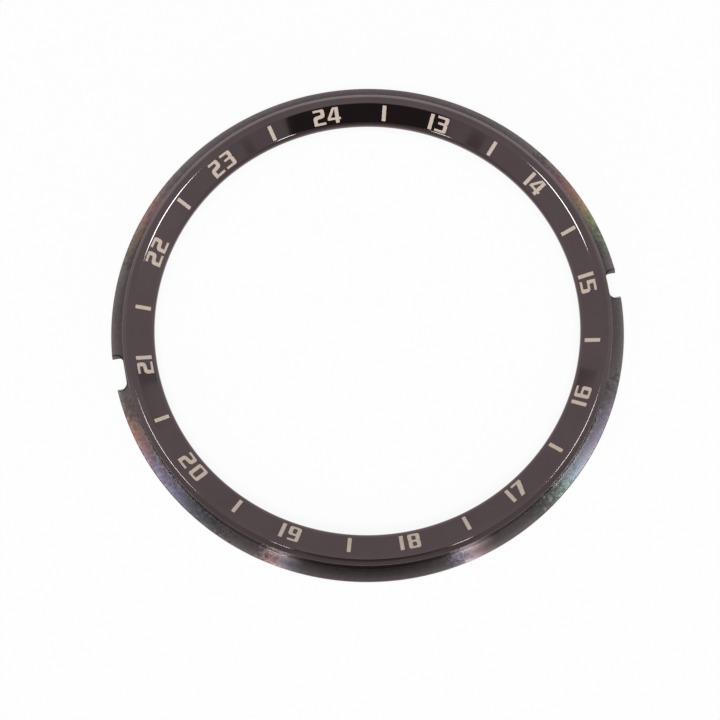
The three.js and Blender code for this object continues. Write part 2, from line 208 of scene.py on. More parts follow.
def filleted(corners, steps):
    """A closed profile with its corners rounded.

    Each corner is (radius, height, round). The arc touches both edges at the distance
    round / tan(half the corner's angle) from the corner, and its centre lies on the bisector at
    round / sin(half the angle). Corners with no round keep one point.
    """
    c = np.array(corners, float)
    at, radius = c[:, :2], c[:, 2]
    back = np.roll(at, 1, 0) - at
    on = np.roll(at, -1, 0) - at
    back /= np.linalg.norm(back, axis=1, keepdims=True)
    on /= np.linalg.norm(on, axis=1, keepdims=True)
    half = np.arccos(np.clip((back * on).sum(1), -1, 1)) / 2
    middle = (back + on) / np.maximum(np.linalg.norm(back + on, axis=1, keepdims=True), NO_LENGTH)
    centre = at + middle * (radius / np.sin(half))[:, None]
    reach = (radius / np.tan(half))[:, None]
    first = at + back * reach - centre
    last = at + on * reach - centre
    start = np.arctan2(first[:, 1], first[:, 0])
    turn = np.arctan2(last[:, 1], last[:, 0]) - start
    turn = (turn + np.pi) % (2 * np.pi) - np.pi
    share = np.linspace(0, 1, steps + 1)
    angle = start[:, None] + turn[:, None] * share
    arcs = centre[:, None] + radius[:, None, None] * np.stack([np.cos(angle), np.sin(angle)], -1)
    keep = (radius[:, None] > 0) | (share == 0)
    return np.where(radius[:, None, None] > 0, arcs, at[:, None])[keep]


def guarded(profile, reach):
    """The closed profile with two points more on each long edge, one near each of its ends.

    They stand at the distance reach from the ends, so that smooth shading bends only there and
    the rest of a flat or a cone keeps its own normal, as a ground and polished face does."""
    on = np.roll(profile, -1, 0)
    size = np.linalg.norm(on - profile, axis=1)
    way = (on - profile) / np.maximum(size, NO_LENGTH)[:, None]
    long = size > LONG_REACHES * reach
    points = np.stack([profile, profile + way * reach, on - way * reach], 1)
    keep = np.stack([np.ones(len(long), bool), long, long], 1)
    return points[keep]


def linked(name, data):
    """A new object of the scene that holds the data, at the origin."""
    thing = bpy.data.objects.new(name, data)
    bpy.context.scene.collection.objects.link(thing)
    return thing


def skin(name, grid):
    """A closed mesh over a grid of points (rows along the profile, columns round the ring)."""
    rows, columns = grid.shape[:2]
    here = np.arange(rows * columns).reshape(rows, columns)
    beside = np.roll(here, -1, 1)
    quads = np.stack([here, beside, np.roll(beside, -1, 0), np.roll(here, -1, 0)], -1)
    mesh = bpy.data.meshes.new(name)
    mesh.vertices.add(rows * columns)
    mesh.vertices.foreach_set("co", grid.astype(np.float32).ravel())
    mesh.loops.add(quads.size)
    mesh.loops.foreach_set("vertex_index", quads.astype(np.int32).ravel())
    mesh.polygons.add(rows * columns)
    mesh.polygons.foreach_set("loop_start", np.arange(0, quads.size, 4, dtype=np.int32))
    mesh.update(calc_edges=True)
    mesh.validate()
    return mesh


def shown(name, mesh, sharp_degrees):
    """An object at the origin with smooth shading that breaks at sharp edges."""
    piece = linked(name, mesh)
    mesh.polygons.foreach_set("use_smooth", np.ones(len(mesh.polygons), bool))
    mesh.set_sharp_from_angle(angle=math.radians(sharp_degrees))
    return piece


def read(items, key, width, kind=np.float32):
    """One property of all the items of a mesh as an array with so many columns."""
    values = np.zeros(len(items) * width, kind)
    items.foreach_get(key, values)
    return values.reshape(-1, width) if width > 1 else values


def turned_grid(profile, angle):
    """The profile (radius, height) carried round the Z axis: x = r cos a, y = r sin a, z = z."""
    r, z = profile[:, :1], profile[:, 1:]
    return np.stack([r * np.cos(angle), r * np.sin(angle), z + 0 * angle], -1)


def land_height(sizes, radius):
    """Height of the land's cone: the crown's height less the way inwards times the slope."""
    return sizes.crown_height - (sizes.crown_inner - radius) * math.tan(sizes.land_slope)


def land_normal(sizes, at):
    """Normal of the land's cone over each point: (-cos a sin s, -sin a sin s, cos s), with a the
    point's angle round the axis and s the slope."""
    slope = sizes.land_slope
    flat = -at[:, :2] / np.hypot(at[:, 0], at[:, 1])[:, None] * math.sin(slope)
    return np.column_stack([flat, np.full(len(at), math.cos(slope))])


def notch_path(sizes, width):
    """One notch's outline at +X: x, y and how much of the rim's round its edge gets.

    The path runs in along the wall at -y, round the corner, along the floor, round the other
    corner and out along the wall at +y. The walls lie at y = -width/2 and +width/2, the floor at
    x = notch floor, and each corner is a quarter circle. The second half mirrors the first.
    """
    floor, half, r = sizes.notch_floor, width / 2, sizes.notch_round
    mouth = math.sqrt(sizes.rim_radius**2 - half**2)
    wall = mouth + (floor + r - mouth) * np.linspace(0, 1, NOTCH_STEPS + 1)
    bend = np.linspace(0, np.pi / 2, NOTCH_STEPS + 1)[1:]
    flat = np.linspace(-half + r, 0, NOTCH_STEPS + 1)[1:]
    x = np.concatenate([wall, floor + r - r * np.sin(bend), np.full(len(flat), floor)])
    y = np.concatenate([np.full(len(wall), -half), -half + r - r * np.cos(bend), flat])
    edge = np.concatenate([np.ones(len(wall)), np.cos(bend) ** 2, np.zeros(len(flat))])
    firsts = ((x, 1), (y, -1), (NOTCH_EDGE_SHARE * edge, 1))
    return [np.concatenate([first, sign * first[-2::-1]]) for first, sign in firsts]


def flange_outline(sizes, share):
    """The flange's outline at one share of its thickness, from 0 below to 1 on top.

    It is the rim circle between the notches and the notch paths in it. A notch wall is moved
    sideways by its lean times the share, and the rim's arcs start where the walls then end.
    Returns the points, the angle that each keeps on the inner circles, and how much of the rim's
    round each gets.
    """
    rim = sizes.rim_radius
    notches, mouths = [], []
    for turn, width, offset in (
        (0.0, sizes.narrow_notch, sizes.narrow_offset),
        (np.pi, sizes.wide_notch, 0.0),
    ):
        x, y, edge = notch_path(sizes, width)
        way = np.clip((x - sizes.notch_floor) / (rim - sizes.notch_floor), 0, 1)
        lean = sizes.floor_lean + (sizes.mouth_lean - sizes.floor_lean) * way
        y = y + np.sign(y) * lean * share + offset
        ends = np.array([0, -1])
        x[ends] = np.sqrt(rim**2 - y[ends] ** 2)
        a = np.arctan2(y[ends], x[ends])
        c, s = math.cos(turn), math.sin(turn)
        points = np.stack([c * x - s * y, s * x + c * y], -1)
        notches.append((points, np.linspace(a[0], a[1], len(x)) + turn, edge))
        mouths.append(a + turn)
    (narrow_start, narrow_end), (wide_start, wide_end) = mouths
    arcs = []
    for start, end in ((narrow_end, wide_start), (wide_end, narrow_start + 2 * np.pi)):
        a = np.linspace(start, end, sizes.segments // 2)[1:-1]
        arcs.append((rim * np.stack([np.cos(a), np.sin(a)], -1), a, np.ones(len(a))))
    runs = [notches[0], arcs[0], notches[1], arcs[1]]
    return tuple(np.concatenate(group) for group in zip(*runs))


def bead_profile(sizes):
    """The bead round the numeral ring's foot as (radius, height), from its outer end inwards.

    It rises in two arcs that meet without a kink. Each is its round times (sin a, -cos a), where
    the slope a grows from the first of the bead's tilts to the second and then to the root's.
    """
    bead, root = sizes.bead_round, sizes.root_round
    tilt = np.radians(np.linspace(*BEAD_TILT, BEAD_STEPS + 1))
    steep = np.radians(np.linspace(BEAD_TILT[1], ROOT_TILT, ROOT_STEPS + 1))[1:]

    def arc(size, a):
        return size * np.stack([np.sin(a), -np.cos(a)], -1)

    path = np.concatenate([arc(bead, tilt), arc(bead - root, tilt[-1:]) + arc(root, steep)])
    seam = sizes.wall_radius + sizes.ridge_gap
    radius = seam + path[-1, 0] - path[:, 0]
    return np.stack([radius, sizes.flange_thickness + path[:, 1] - path[0, 1]], -1)


def flange_grid(sizes):
    """The flange as rings of points, from the rim's foot up and over the top, inwards to the
    collar and down the bore. The last ring joins the first across the underside.

    The outer rings are the outline, drawn in along its own normal by the chamfer below and the
    round above. The inner rings are circles, joined to the outline by straight lines: the bead,
    the flat under the numeral ring and the centring collar.
    """
    top, edge, chamfer = sizes.flange_thickness, sizes.rim_round, sizes.rim_chamfer
    bend = np.linspace(0, np.pi / 2, RIM_STEPS + 1)[1:]
    inset = np.concatenate([[chamfer, 0, 0], edge * (1 - np.cos(bend))])
    height = np.concatenate([[0, chamfer, top - edge], top - edge + edge * np.sin(bend)])
    outer = []
    for d, z in zip(inset, height):
        points, angle, rounds = flange_outline(sizes, z / top)
        ahead = np.roll(points, -1, 0) - np.roll(points, 1, 0)
        ahead /= np.linalg.norm(ahead, axis=1, keepdims=True)
        inwards = np.stack([-ahead[:, 1], ahead[:, 0]], -1)
        moved = points + inwards * (d * rounds)[:, None]
        outer.append(np.column_stack([moved, np.full(len(moved), z)]))
    guard = moved + inwards * (SMOOTH_REACH * np.maximum(rounds, LEAST_REACH_SHARE))[:, None]
    outer.append(np.column_stack([guard, np.full(len(guard), top)]))
    collar = filleted(
        [
            (sizes.collar_radius, top, 0),
            (sizes.collar_radius, sizes.collar_top, COLLAR_ROUND),
            (sizes.bore_radius, sizes.collar_top, COLLAR_ROUND),
            (sizes.bore_radius, 0, chamfer),
        ],
        COLLAR_STEPS,
    )
    bead = bead_profile(sizes)
    before, after = [[bead[0, 0] + BEAD_REACH, top]], [[bead[-1, 0], top]]
    inner = turned_grid(np.concatenate([before, bead, after, collar]), angle)
    return np.concatenate([np.array(outer), inner])


def numeral_ring_profile(sizes):
    """The numeral ring's closed profile, from the recess outwards, over the crown and down the
    land to the lip. The corners are filleted, so the crown is two arcs with a flat between."""
    corners = [
        (sizes.recess_radius, sizes.foot_height, 0),
        (sizes.wall_radius, sizes.foot_height, WALL_FOOT_ROUND),
        (sizes.wall_radius - sizes.wall_draft, sizes.shoulder_height, sizes.shoulder_round),
        (sizes.crown_outer, sizes.crown_height, sizes.crown_outer_round),
        (sizes.crown_inner, sizes.crown_height, sizes.crown_inner_round),
        (sizes.lip_radius, land_height(sizes, sizes.lip_radius), sizes.lip_round),
        (sizes.lip_radius, sizes.lip_under, LIP_FOOT_ROUND),
        (sizes.recess_radius, sizes.lip_under, 0),
    ]
    return guarded(filleted(corners, RING_STEPS), SMOOTH_REACH)


def pocket_cutters(sizes):
    """The marks' own solids, drawn up through the land and a little down, as one mesh.

    A point's height over the land is its z less the cone's height at its radius, times the
    cosine of the slope. Points near the land move up along the cone's normal, the rest down it.
    """
    cutters = bmesh.new()
    for name in INLAYS:
        cutters.from_mesh(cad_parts[name].data)
    bmesh.ops.remove_doubles(cutters, verts=cutters.verts, dist=WELD)
    mesh = bpy.data.meshes.new("pocket_cutters")
    cutters.to_mesh(mesh)
    cutters.free()
    co = read(mesh.vertices, "co", 3).astype(float)
    above = co[:, 2] - land_height(sizes, np.hypot(co[:, 0], co[:, 1]))
    rim = above * math.cos(sizes.land_slope) > -POCKET_DEPTH_SPLIT
    way = np.where(rim, RIM_LIFT, -FOOT_DROP)[:, None]
    moved = co + land_normal(sizes, co) * way
    mesh.vertices.foreach_set("co", moved.astype(np.float32).ravel())
    mesh.update()
    return mesh


def cut(piece, cutter_mesh):
    """Cuts one mesh out of a piece and keeps the result as plain faces."""
    cutter = linked("cutter", cutter_mesh)
    boolean = piece.modifiers.new("pockets", "BOOLEAN")
    boolean.operation = "DIFFERENCE"
    boolean.solver = "EXACT"
    boolean.object = cutter
    depsgraph = bpy.context.evaluated_depsgraph_get()
    result = bpy.data.meshes.new_from_object(piece.evaluated_get(depsgraph))
    piece.modifiers.clear()
    old = piece.data
    piece.data = result
    bpy.data.meshes.remove(old)
    bpy.data.objects.remove(cutter)


def ground_land(piece, sizes):
    """Gives the land the normals of its cone, also beside the pockets that were cut into it.

    The land's faces are those whose middle lies on the cone, clear of the crown's round and the
    lip's, which reach round x tan(half the turn) from their corners. All other corners keep
    their smooth normals."""
    mesh = piece.data
    slope = sizes.land_slope
    middle = read(mesh.polygons, "center", 3)
    radius = np.hypot(middle[:, 0], middle[:, 1])
    level = math.cos(slope)
    last = sizes.crown_inner - sizes.crown_inner_round * math.tan(slope / 2) * level
    first = sizes.lip_radius + sizes.lip_round * math.tan((math.pi / 2 - slope) / 2) * level
    off = np.abs(middle[:, 2] - land_height(sizes, radius))
    on_land = (off < LAND_TOLERANCE) & (radius > first) & (radius < last)
    corners = np.repeat(on_land, read(mesh.polygons, "loop_total", 1, np.int32))
    points = read(mesh.vertices, "co", 3)[read(mesh.loops, "vertex_index", 1, np.int32)]
    normals = read(mesh.corner_normals, "vector", 3)
    normals[corners] = land_normal(sizes, points[corners])
    mesh.normals_split_custom_set(normals.tolist())


# Materials


class Nodes:
    """A short way to write the nodes of a material or of the world."""

    def __init__(self, owner, output="OutputMaterial"):
        owner.use_nodes = True
        self.owner = owner
        self.tree = owner.node_tree
        self.tree.nodes.clear()
        self.output = self.tree.nodes.new("ShaderNode" + output)

    def add(self, kind, inputs=None, **settings):
        """A new node. An input that is a socket is linked, and any other is set."""
        node = self.tree.nodes.new("ShaderNode" + kind)
        for key, value in settings.items():
            setattr(node, key, value)
        for key, value in (inputs or {}).items():
            if isinstance(value, bpy.types.NodeSocket):
                self.tree.links.new(value, node.inputs[key])
            else:
                node.inputs[key].default_value = value
        return node

    def maths(self, operation, a, b=0.0, c=0.0):
        """The result of one operation on numbers."""
        return self.add("Math", {0: a, 1: b, 2: c}, operation=operation).outputs[0]

    def ranged(self, value, source, target):
        """The value carried from the source range to the target range, held at its ends."""
        keys = ("From Min", "From Max", "To Min", "To Max")
        ends = dict(zip(keys, (*source, *target)))
        return self.add("MapRange", {"Value": value, **ends}).outputs[0]

    def noise(self, place, scale, detail=2.0, roughness=0.5):
        """A cloudy pattern between 0 and 1."""
        inputs = {"Vector": place, "Scale": scale, "Detail": detail, "Roughness": roughness}
        return self.add("TexNoise", inputs).outputs["Fac"]

    def ramp(self, factor, stops):
        """A ramp of colours. Each stop is a position and a colour."""
        node = self.add("ValToRGB", {"Fac": factor})
        elements = node.color_ramp.elements
        elements.remove(elements[1])
        elements[0].position, elements[0].color = stops[0][0], (*stops[0][1], 1)
        for position, colour in stops[1:]:
            elements.new(position).color = (*colour, 1)
        return node.outputs["Color"]

    def shades(self, factor, colour, *stops):
        """A ramp of one colour. Each stop is a position and how much of the colour it has."""
        return self.ramp(
            factor, [(at, tuple(min(1.0, share * v) for v in colour)) for at, share in stops]
        )

    def greys(self, factor, *stops):
        """A ramp of greys. Each stop is a position and a level."""
        return self.ramp(factor, [(at, (level, level, level)) for at, level in stops])

    def mix(self, factor, a, b, blend="MIX"):
        """Two colours mixed by a factor, or blended in another way."""
        inputs = {0: factor, 6: a, 7: b}
        return self.add("Mix", inputs, data_type="RGBA", blend_type=blend).outputs[2]

    def product(self, a, b):
        """Two colours multiplied."""
        return self.mix(1.0, a, b, "MULTIPLY")

    def bump(self, height, strength, distance):
        """A normal that fine relief has bent."""
        inputs = {"Height": height, "Strength": strength, "Distance": distance}
        return self.add("Bump", inputs).outputs[0]

    def place(self):
        """The place on the object."""
        return self.add("TexCoord").outputs["Object"]

    def polar(self):
        """The place on the object, its distance from the Z axis, its angle round it and its
        height."""
        place = self.place()
        x, y, z = self.add("SeparateXYZ", {0: place}).outputs
        squares = [self.maths("MULTIPLY", v, v) for v in (x, y)]
        radius = self.maths("SQRT", self.maths("ADD", *squares))
        return place, radius, self.maths("ARCTAN2", y, x), z

    def finish(self, shader):
        """Puts a shader node on the output and returns the material or the world."""
        self.tree.links.new(shader.outputs[0], self.output.inputs["Surface"])
        return self.owner


def blank(name):
    """The nodes of a new material."""
    return Nodes(bpy.data.materials.new(name))


FLANGE_SHADE_START = 20 * MM  # painted glow and shade: over the millimetre outside this radius the flange is painted a little darker near the wall's foot and paler towards its rim
# Painted highlights on the turned coat: rainbow glints and bright spots, painted at fixed angles
# round the ring where the lamps' reflections fall. For each band: where its middle stands, in
# degrees from +X, its half width in degrees, how much stronger it is at the numeral ring's foot,
# and what it multiplies the coat's red, green and blue by from its low angle to its high one. At
# the foot, up to the first of the two radii, a band is also greyed, and from the second on it
# isn't.
GLINT_RADII = (20.12 * MM, 20.45 * MM)
FOOT_GREY_SHARE = 0.6
PAINTED_GLINT_BANDS = (
    (21.0, 15.0, 1.0, (
        (0.0, (0.85, 0.85, 0.8)), (0.17, (0.8, 1.0, 0.75)), (0.34, (1.0, 1.2, 0.7)),
        (0.48, (1.3, 1.05, 0.65)), (0.6, (1.4, 0.85, 0.7)), (0.75, (1.1, 0.75, 0.8)),
        (1.0, (0.85, 0.85, 0.8)))),
    (140.0, 14.0, 1.0, (
        (0.0, (0.85, 0.85, 0.8)), (0.25, (0.9, 0.85, 0.8)), (0.52, (1.25, 0.75, 0.75)),
        (0.72, (1.05, 0.85, 0.7)), (1.0, (0.9, 0.9, 0.85)))),
    (206.0, 20.0, 0.8, (
        (0.0, (0.8, 0.75, 0.7)), (0.08, (0.7, 0.65, 0.6)), (0.2, (1.2, 0.75, 0.6)),
        (0.3, (1.15, 0.7, 0.7)), (0.4, (0.9, 0.75, 0.95)), (0.64, (1.05, 1.05, 1.5)),
        (0.75, (0.75, 0.85, 0.95)), (1.0, (0.85, 0.9, 0.9)))),
    (239.5, 5.5, 1.8, (
        (0.0, (1.0, 1.0, 1.0)), (0.35, (2.9, 2.1, 2.1)), (0.52, (2.7, 2.5, 2.7)),
        (0.72, (1.5, 1.6, 1.9)), (1.0, (1.0, 1.0, 1.0)))),
    (283.5, 6.5, 1.8, (
        (0.0, (0.9, 0.9, 0.9)), (0.22, (1.4, 1.4, 1.8)), (0.4, (2.8, 2.7, 3.1)),
        (0.53, (3.3, 2.8, 3.1)), (0.68, (2.1, 1.8, 1.8)), (1.0, (1.0, 1.0, 1.0)))),
    (318.0, 20.0, 0.7, (
        (0.0, (0.85, 0.9, 0.9)), (0.18, (0.8, 0.9, 0.85)), (0.28, (1.35, 1.9, 1.7)),
        (0.4, (1.5, 1.9, 2.3)), (0.5, (1.35, 1.4, 1.7)), (0.6, (1.0, 0.95, 1.2)),
        (0.8, (0.8, 0.75, 0.9)), (1.0, (0.85, 0.85, 0.85)))),
)


def turned_coat(finishes):
    """Dark coat over fine turning: rings of grooves as bump, radial spread of the shine, and
    bands of painted highlight: rainbow glints and bright spots painted at fixed angles round the
    ring where the lamps' reflections fall.

    The flecks make a band's edges stray. What a band gains at the foot falls off from its middle
    as 1 less the square of the way from there over its half width.
    """
    n = blank("turned_coat")
    place, radius, angle, _ = n.polar()
    degrees = n.maths("MULTIPLY", angle, 180 / math.pi)
    grooves = n.noise(n.add("CombineXYZ", {0: radius}).outputs[0], 14000.0, 3.0, 0.7)
    wander = n.noise(place, 900.0, 4.0, 0.6)
    flecks = n.noise(place, 3600.0, 2.5, 0.65)
    stray = n.maths("MULTIPLY_ADD", flecks, 0.95, n.maths("MULTIPLY_ADD", wander, 0.15, -0.55))
    glint_flecks = n.ranged(flecks, (0.3, 0.7), (0.74, 1.12))
    low = n.ranged(radius, GLINT_RADII, (1.0, 0.0))
    tint = (*finishes.turned, 1.0)
    # painted highlights: each band multiplies the coat's colour by its painted rainbow glint
    for middle, half, foot, stops in PAINTED_GLINT_BANDS:
        turned = n.maths("WRAP", n.maths("SUBTRACT", degrees, middle), 180.0, -180.0)
        away = n.maths("MULTIPLY_ADD", stray, half, turned)
        inside = n.maths("LESS_THAN", n.maths("ABSOLUTE", away), half)
        bulge = n.maths("SUBTRACT", 1.0, n.maths("POWER", n.maths("DIVIDE", away, half), 2.0))
        glint_gain = n.maths("MULTIPLY_ADD", n.maths("MULTIPLY", bulge, low), foot - 1.0, glint_flecks)
        painted_rainbow = n.ramp(n.maths("ADD", n.maths("DIVIDE", away, 2 * half), 0.5), stops)
        plain = n.add("RGBToBW", {0: painted_rainbow}).outputs[0]
        glint_tint = n.mix(n.maths("MULTIPLY", low, FOOT_GREY_SHARE), painted_rainbow, plain)
        tint = n.mix(inside, tint, n.product(glint_tint, glint_gain), "MULTIPLY")
    speckle = n.ranged(n.maths("MULTIPLY_ADD", flecks, 2.0, grooves), (0.9, 2.1), (0.84, 1.16))
    outwards = n.maths("MULTIPLY_ADD", radius, 1 / MM, -FLANGE_SHADE_START / MM)
    # painted shade near the wall's foot and painted glow towards the rim
    rim_glow_and_foot_shade = n.ramp(outwards, (
        (0.08, (0.95, 0.94, 0.94)), (0.45, (0.98, 0.97, 0.98)), (0.64, (1.12, 1.12, 1.12)),
        (0.88, (1.50, 1.50, 1.49)), (0.97, (1.60, 1.57, 1.55))))
    return n.finish(n.add("BsdfPrincipled", {
        "Base Color": n.product(n.product(tint, speckle), rim_glow_and_foot_shade),
        "Metallic": 1.0,
        "Roughness": n.ranged(grooves, (0.3, 0.7), (0.28, 0.34)),
        "Anisotropic": 1.0,
        "Anisotropic Rotation": 0.25,
        "Tangent": n.add("Tangent", direction_type="RADIAL", axis="Z").outputs[0],
        "Normal": n.bump(grooves, 1.0, 0.0012 * MM),
    }))


def polished_coat(finishes):
    """Dark brown coat with a near mirror polish: very fine rings left by the tool and a slow
    variation of tone and gloss. Its colour is painted paler where it is seen at a low angle, a
    painted sheen."""
    n = blank("polished_coat")
    place, radius, _, height = n.polar()
    rings = n.add("CombineXYZ", {0: radius, 1: n.maths("MULTIPLY", height, 0.6)}).outputs[0]
    cloud = n.noise(place, 260.0, 3.0, 0.55)
    tone = n.shades(cloud, finishes.polish, (0.3, 0.94), (0.7, 1.06))
    facing = n.add("LayerWeight", {"Blend": 0.5}).outputs["Facing"]
    # painted sheen: the colour grows paler where the surface is seen at a low angle
    grazing_sheen = n.greys(facing, (0.28, 1.0), (0.50, 1.55), (0.72, 1.9), (0.86, 4.0))
    return n.finish(n.add("BsdfPrincipled", {
        "Base Color": n.product(tone, grazing_sheen),
        "Metallic": 1.0,
        "Roughness": n.ranged(cloud, (0.3, 0.7), (0.045, 0.065)),
        "Normal": n.bump(n.noise(rings, 14000.0, 2.0, 0.6), 0.06, 0.0005 * MM),
    }))


def filled_marks(finishes):
    """Matt beige filling with a fine slanted hatch and small pits."""
    n = blank("filled_marks")
    place = n.place()
    slanted = n.add("Mapping", {"Vector": place, "Rotation": (0.0, 0.0, 0.7)}).outputs[0]
    hatch = n.add("TexWave", {
        "Vector": slanted, "Scale": 3200.0, "Distortion": 1.5, "Detail": 2.0, "Detail Scale": 2.0,
    }, wave_type="BANDS", bands_direction="X").outputs["Fac"]
    pits = n.noise(place, 9000.0, 3.0, 0.6)
    both = n.maths("ADD", n.maths("MULTIPLY", hatch, 0.35), n.maths("MULTIPLY", pits, 0.65))
    return n.finish(n.add("BsdfPrincipled", {
        "Base Color": n.shades(both, finishes.filling, (0.25, 0.82), (0.5, 1.0), (0.75, 1.12)),
        "Roughness": 0.62,
        "Specular IOR Level": 0.35,
        "Normal": n.bump(both, 0.35, 0.006 * MM),
    }))


def bond_film(finishes):
    """Dark film with a faint grain."""
    n = blank("bond_film")
    grain = n.noise(n.place(), 4000.0)
    return n.finish(n.add("BsdfPrincipled", {
        "Base Color": n.shades(grain, finishes.bond, (0.3, 0.7), (0.7, 1.4)),
        "Roughness": 0.6,
        "Normal": n.bump(grain, 0.3, 0.005 * MM),
    }))


def pale_floor(studio):
    """Pale floor. The camera and polished surfaces see it nearly white, with a soft part of its
    shadow."""
    n = blank("pale_floor")
    tone = n.shades(n.noise(n.place(), 60.0), studio.floor, (0.3, 0.995), (0.7, 1.0))
    paper = n.add("BsdfDiffuse", {"Color": tone, "Roughness": 0.5})
    path = n.add("LightPath").outputs
    glow = n.add("Emission", {"Color": (1, 1, 1, 1), "Strength": 1.0})
    seen = n.maths("MAXIMUM", path["Is Camera Ray"], path["Is Transmission Ray"])
    share = n.maths("MAXIMUM", n.maths("MULTIPLY", seen, 0.90), path["Is Glossy Ray"])
    return n.finish(n.add("MixShader", {0: share, 1: paper.outputs[0], 2: glow.outputs[0]}))


# Studio

# The picture's upright frame, in which lamps and cards are placed, has its origin in the middle
# of the ring, X to the right, -Y towards the camera's side and Z up.
COOL = (0.82, 1.0, 0.97)  # tint of the lamps
# The place, width, depth and radiance of each lamp over the ring. Its power is the radiance
# times pi times its area.
SOFTBOXES = (
    ("top_left", (-0.123, 0.044, 0.378), 0.026, 0.075, 28.0),
    ("top_right", (0.123, 0.040, 0.378), 0.026, 0.070, 30.0),
    ("front_left", (-0.1095, -0.152, 0.364), 0.024, 0.030, 22.0),
    ("front_right", (0.1017, -0.1555, 0.364), 0.024, 0.030, 30.0),
)
FILL_PLACE, FILL_WIDTH, FILL_DEPTH = (0.0, -0.34, 0.42), 0.30, 0.12
# The middle, width, depth, corner, turn in degrees and tone of each dim card in the roof.
DIM_CARDS = (
    ("gap_front_left", (-0.1244, -0.0821, 0.415), 0.018, 0.018, 0.003, -33, 0.40),
    ("gap_front_right", (0.1229, -0.0846, 0.415), 0.011, 0.018, 0.003, 33, 0.46),
    ("gap_back_right", (0.2555, 0.2020, 0.415), 0.019, 0.023, 0.004, -3, 0.52),
    ("gap_along_right", (0.2400, 0.2375, 0.415), 0.013, 0.062, 0.004, 13, 0.56),
    ("gap_back_left", (-0.2550, 0.2330, 0.415), 0.022, 0.034, 0.004, 0, 0.50),
)
CARD_POINTS, DISC_POINTS = 48, 64
DUSK_WAY = (0.0, -0.687, 0.726)  # the way to the dark patch of the tent
LENS_FRONT_RADIUS = 0.042
LENS_FRONT_SHARE = 1.05  # of the camera's distance, where its dark front stands
LENS_FRONT_ASIDE = Vector((-0.003, 0.0, 0.0))  # in the camera's own axes
CLIP_NEAR, CLIP_FAR = 0.005, 10.0
FLOOR_REACH = 1.5  # half the floor's width
FLOOR_DROP = 0.02 * MM  # the floor lies this far under the ring


def camera_matrix(studio):
    """The camera's place. It looks down at its elevation, rolled about the line of sight, and
    the picture's middle is moved off the ring's centre by the two shares of the frame."""
    e, r, a = studio.elevation, studio.roll, -studio.azimuth
    right = Vector((math.cos(r), -math.sin(r) * math.sin(e), -math.sin(r) * math.cos(e)))
    up = Vector((math.sin(r), math.cos(r) * math.sin(e), math.cos(r) * math.cos(e)))
    back = Vector((0, -math.cos(e), math.sin(e)))
    frame_width = SENSOR_WIDTH / studio.focal_length * studio.distance
    place = (
        -right * studio.centre_right * frame_width
        - up * studio.centre_up * frame_width
        + back * studio.distance
    )
    about = Matrix.Rotation(a, 3, "Z")
    axes = Matrix([about @ right, about @ up, about @ back]).transposed()
    return Matrix.Translation(about @ place) @ axes.to_4x4()


def upright_turn():
    """The turn from the picture's upright frame into the ring's."""
    return Matrix.Rotation(-bpy.context.scene.bezel_studio.azimuth, 3, "Z")


def softbox(name, place, width, depth, power, tint=(1.0, 1.0, 1.0)):
    """An area lamp that faces the ring, with its place in the picture's upright frame."""
    lamp = bpy.data.lights.new(name, "AREA")
    lamp.shape = "RECTANGLE"
    lamp.size, lamp.size_y = width, depth
    lamp.energy = power
    lamp.color = tint
    box = linked(name, lamp)
    box.location = upright_turn() @ Vector(place)
    box.rotation_euler = box.location.to_track_quat("Z", "Y").to_euler()
    box.visible_camera = False
    return box


def reflected_only(thing):
    """Keeps a piece of the studio out of sight except in reflections."""
    thing.visible_camera = False
    thing.visible_diffuse = False
    thing.visible_shadow = False
    thing.visible_transmission = False


def screen(name, rim, dark, pale):
    """A flat face inside its rim that only reflections show, glowing between two dim tones."""
    mesh = bpy.data.meshes.new(name)
    mesh.from_pydata(rim.tolist(), [], [list(range(len(rim)))])
    n = blank(name)
    tone = n.ramp(n.noise(n.place(), 20.0), ((0.3, dark), (0.7, pale)))
    mesh.materials.append(n.finish(n.add("Emission", {"Color": tone})))
    reflected_only(linked(name, mesh))


def dim_card(name, middle, width, depth, corner, degrees, tone):
    """A dim card in the tent's roof: a rectangle with round corners, turned by some degrees.

    A point is corner * (cos a, sin a) moved out by the rest of the half width and half depth,
    with the sign of its own cosine and sine."""
    angle = np.linspace(0, 2 * np.pi, CARD_POINTS, endpoint=False) + np.pi / CARD_POINTS
    way = np.stack([np.cos(angle), np.sin(angle)], -1)
    rest = np.array([width / 2 - corner, depth / 2 - corner])
    rim = np.column_stack([corner * way + np.sign(way) * rest, np.zeros(len(way))])
    own = np.array(Matrix.Rotation(math.radians(degrees), 3, "Z"))
    placed = (rim @ own.T + np.array(middle)) @ np.array(upright_turn()).T
    screen(name, placed, (tone, tone, tone), (1.08 * tone, 1.06 * tone, 1.06 * tone))


def dark_disc(name, place, facing, radius):
    """A dark round screen, such as the camera's own front."""
    angle = np.linspace(0, 2 * np.pi, DISC_POINTS, endpoint=False)
    rim = np.stack([radius * np.cos(angle), radius * np.sin(angle), 0 * angle], -1)
    turn = np.array(facing.to_track_quat("Z", "Y").to_matrix())
    screen(name, rim @ turn.T + np.array(place), (0.10, 0.09, 0.09), (0.13, 0.12, 0.12))


